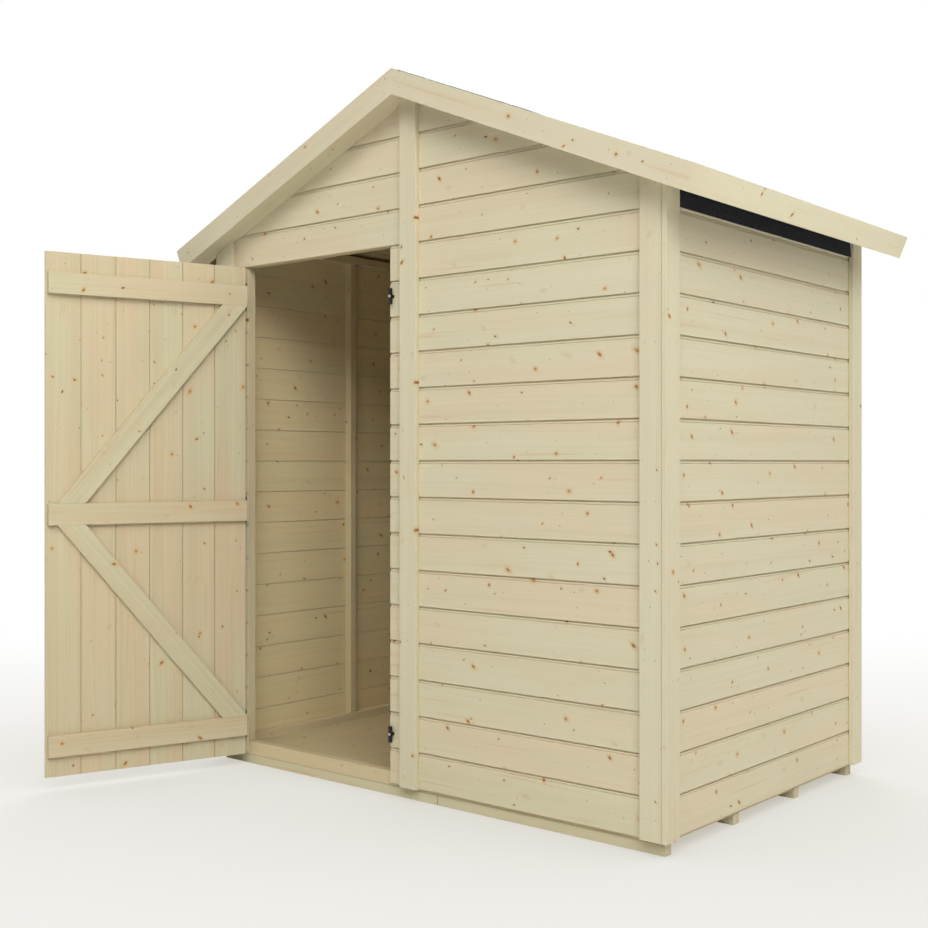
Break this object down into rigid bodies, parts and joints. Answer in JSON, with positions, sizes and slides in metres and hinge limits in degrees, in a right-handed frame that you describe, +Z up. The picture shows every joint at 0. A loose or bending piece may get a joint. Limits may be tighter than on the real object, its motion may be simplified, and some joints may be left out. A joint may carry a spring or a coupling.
{
  "type": "timber garden shed",
  "caption": "Apex-roofed timber garden shed with tongue-and-groove walls on bearers, a boarded floor, felted roof and a ledged-and-braced door that swings on tee hinges.",
  "frame": {"origin": "middle of the front bearer's underside, at ground level under the front gable", "axes": "+Z up, -Y out of the front gable and its doorway, +X to the right seen from the front"},
  "size_m": [2.094, 1.9653, 2.241],
  "materials": {
    "cladding_timber": "pale treated softwood, planed",
    "trim_timber": "pale treated softwood, planed",
    "frame_timber": "pale treated softwood",
    "door_timber": "pale treated softwood, planed",
    "floor_timber": "pale softwood boards",
    "roof_timber": "pale softwood boards",
    "bearer_timber": "pressure-treated softwood",
    "felt": "dark mineral-faced roofing felt",
    "black_metal": "black painted steel",
    "bright_screw": "bright zinc-plated steel"
  },
  "bodies": {
    "shed": {"front_bearer": "bearer_timber", "inner_bearers": "bearer_timber", "floor": "floor_timber", "front_rail": "frame_timber", "rear_rail": "frame_timber", "left_rail": "frame_timber", "right_rail": "frame_timber", "left_top_rail": "frame_timber", "right_top_rail": "frame_timber", "left_studs": "frame_timber", "right_studs": "frame_timber", "left_jamb": "frame_timber", "right_jamb": "frame_timber", "door_header": "frame_timber", "front_left_post": "frame_timber", "front_right_studs": "frame_timber", "rear_studs": "frame_timber", "front_rafters": "frame_timber", "rear_rafters": "frame_timber", "front_left_cladding": "cladding_timber", "front_right_cladding": "cladding_timber", "front_gable": "cladding_timber", "rear_cladding": "cladding_timber", "left_cladding": "cladding_timber", "right_cladding": "cladding_timber", "front_left_trim": "trim_timber", "front_right_trim": "trim_timber", "rear_trims": "trim_timber", "left_side_trims": "trim_timber", "right_side_trims": "trim_timber", "centre_trim": "trim_timber", "left_roof_sheet": "roof_timber", "right_roof_sheet": "roof_timber", "front_verge_battens": "trim_timber", "rear_verge_battens": "trim_timber", "front_left_bargeboard": "trim_timber", "front_right_bargeboard": "trim_timber", "rear_left_bargeboard": "trim_timber", "rear_right_bargeboard": "trim_timber", "left_eave_fascia": "trim_timber", "right_eave_fascia": "trim_timber", "roof_felt": "felt", "ridge_strip": "felt", "hinge_plates": "black_metal", "button_screws": "bright_screw"},
    "door": {"door_boards": "door_timber", "door_ledges": "door_timber", "door_braces": "door_timber", "hinge_straps": "black_metal"},
    "upper_button": {"upper_turn_button": "black_metal"},
    "lower_button": {"lower_turn_button": "black_metal"}
  },
  "joints": [
    {"name": "door_hinge", "type": "hinge", "parent": "shed", "child": "door", "pos_m": [-0.7735, -0.0367, 0.9], "axis": [0, 0, 1], "range_deg": [-46.6, 108.4]},
    {"name": "upper_button_pivot", "type": "hinge", "parent": "shed", "child": "upper_button", "pos_m": [-0.076, -0.035, 1.5615], "axis": [0, 1, 0], "range_deg": [-90, 90]},
    {"name": "lower_button_pivot", "type": "hinge", "parent": "shed", "child": "lower_button", "pos_m": [-0.076, -0.035, 0.1975], "axis": [0, 1, 0], "range_deg": [-90, 90]}
  ]
}
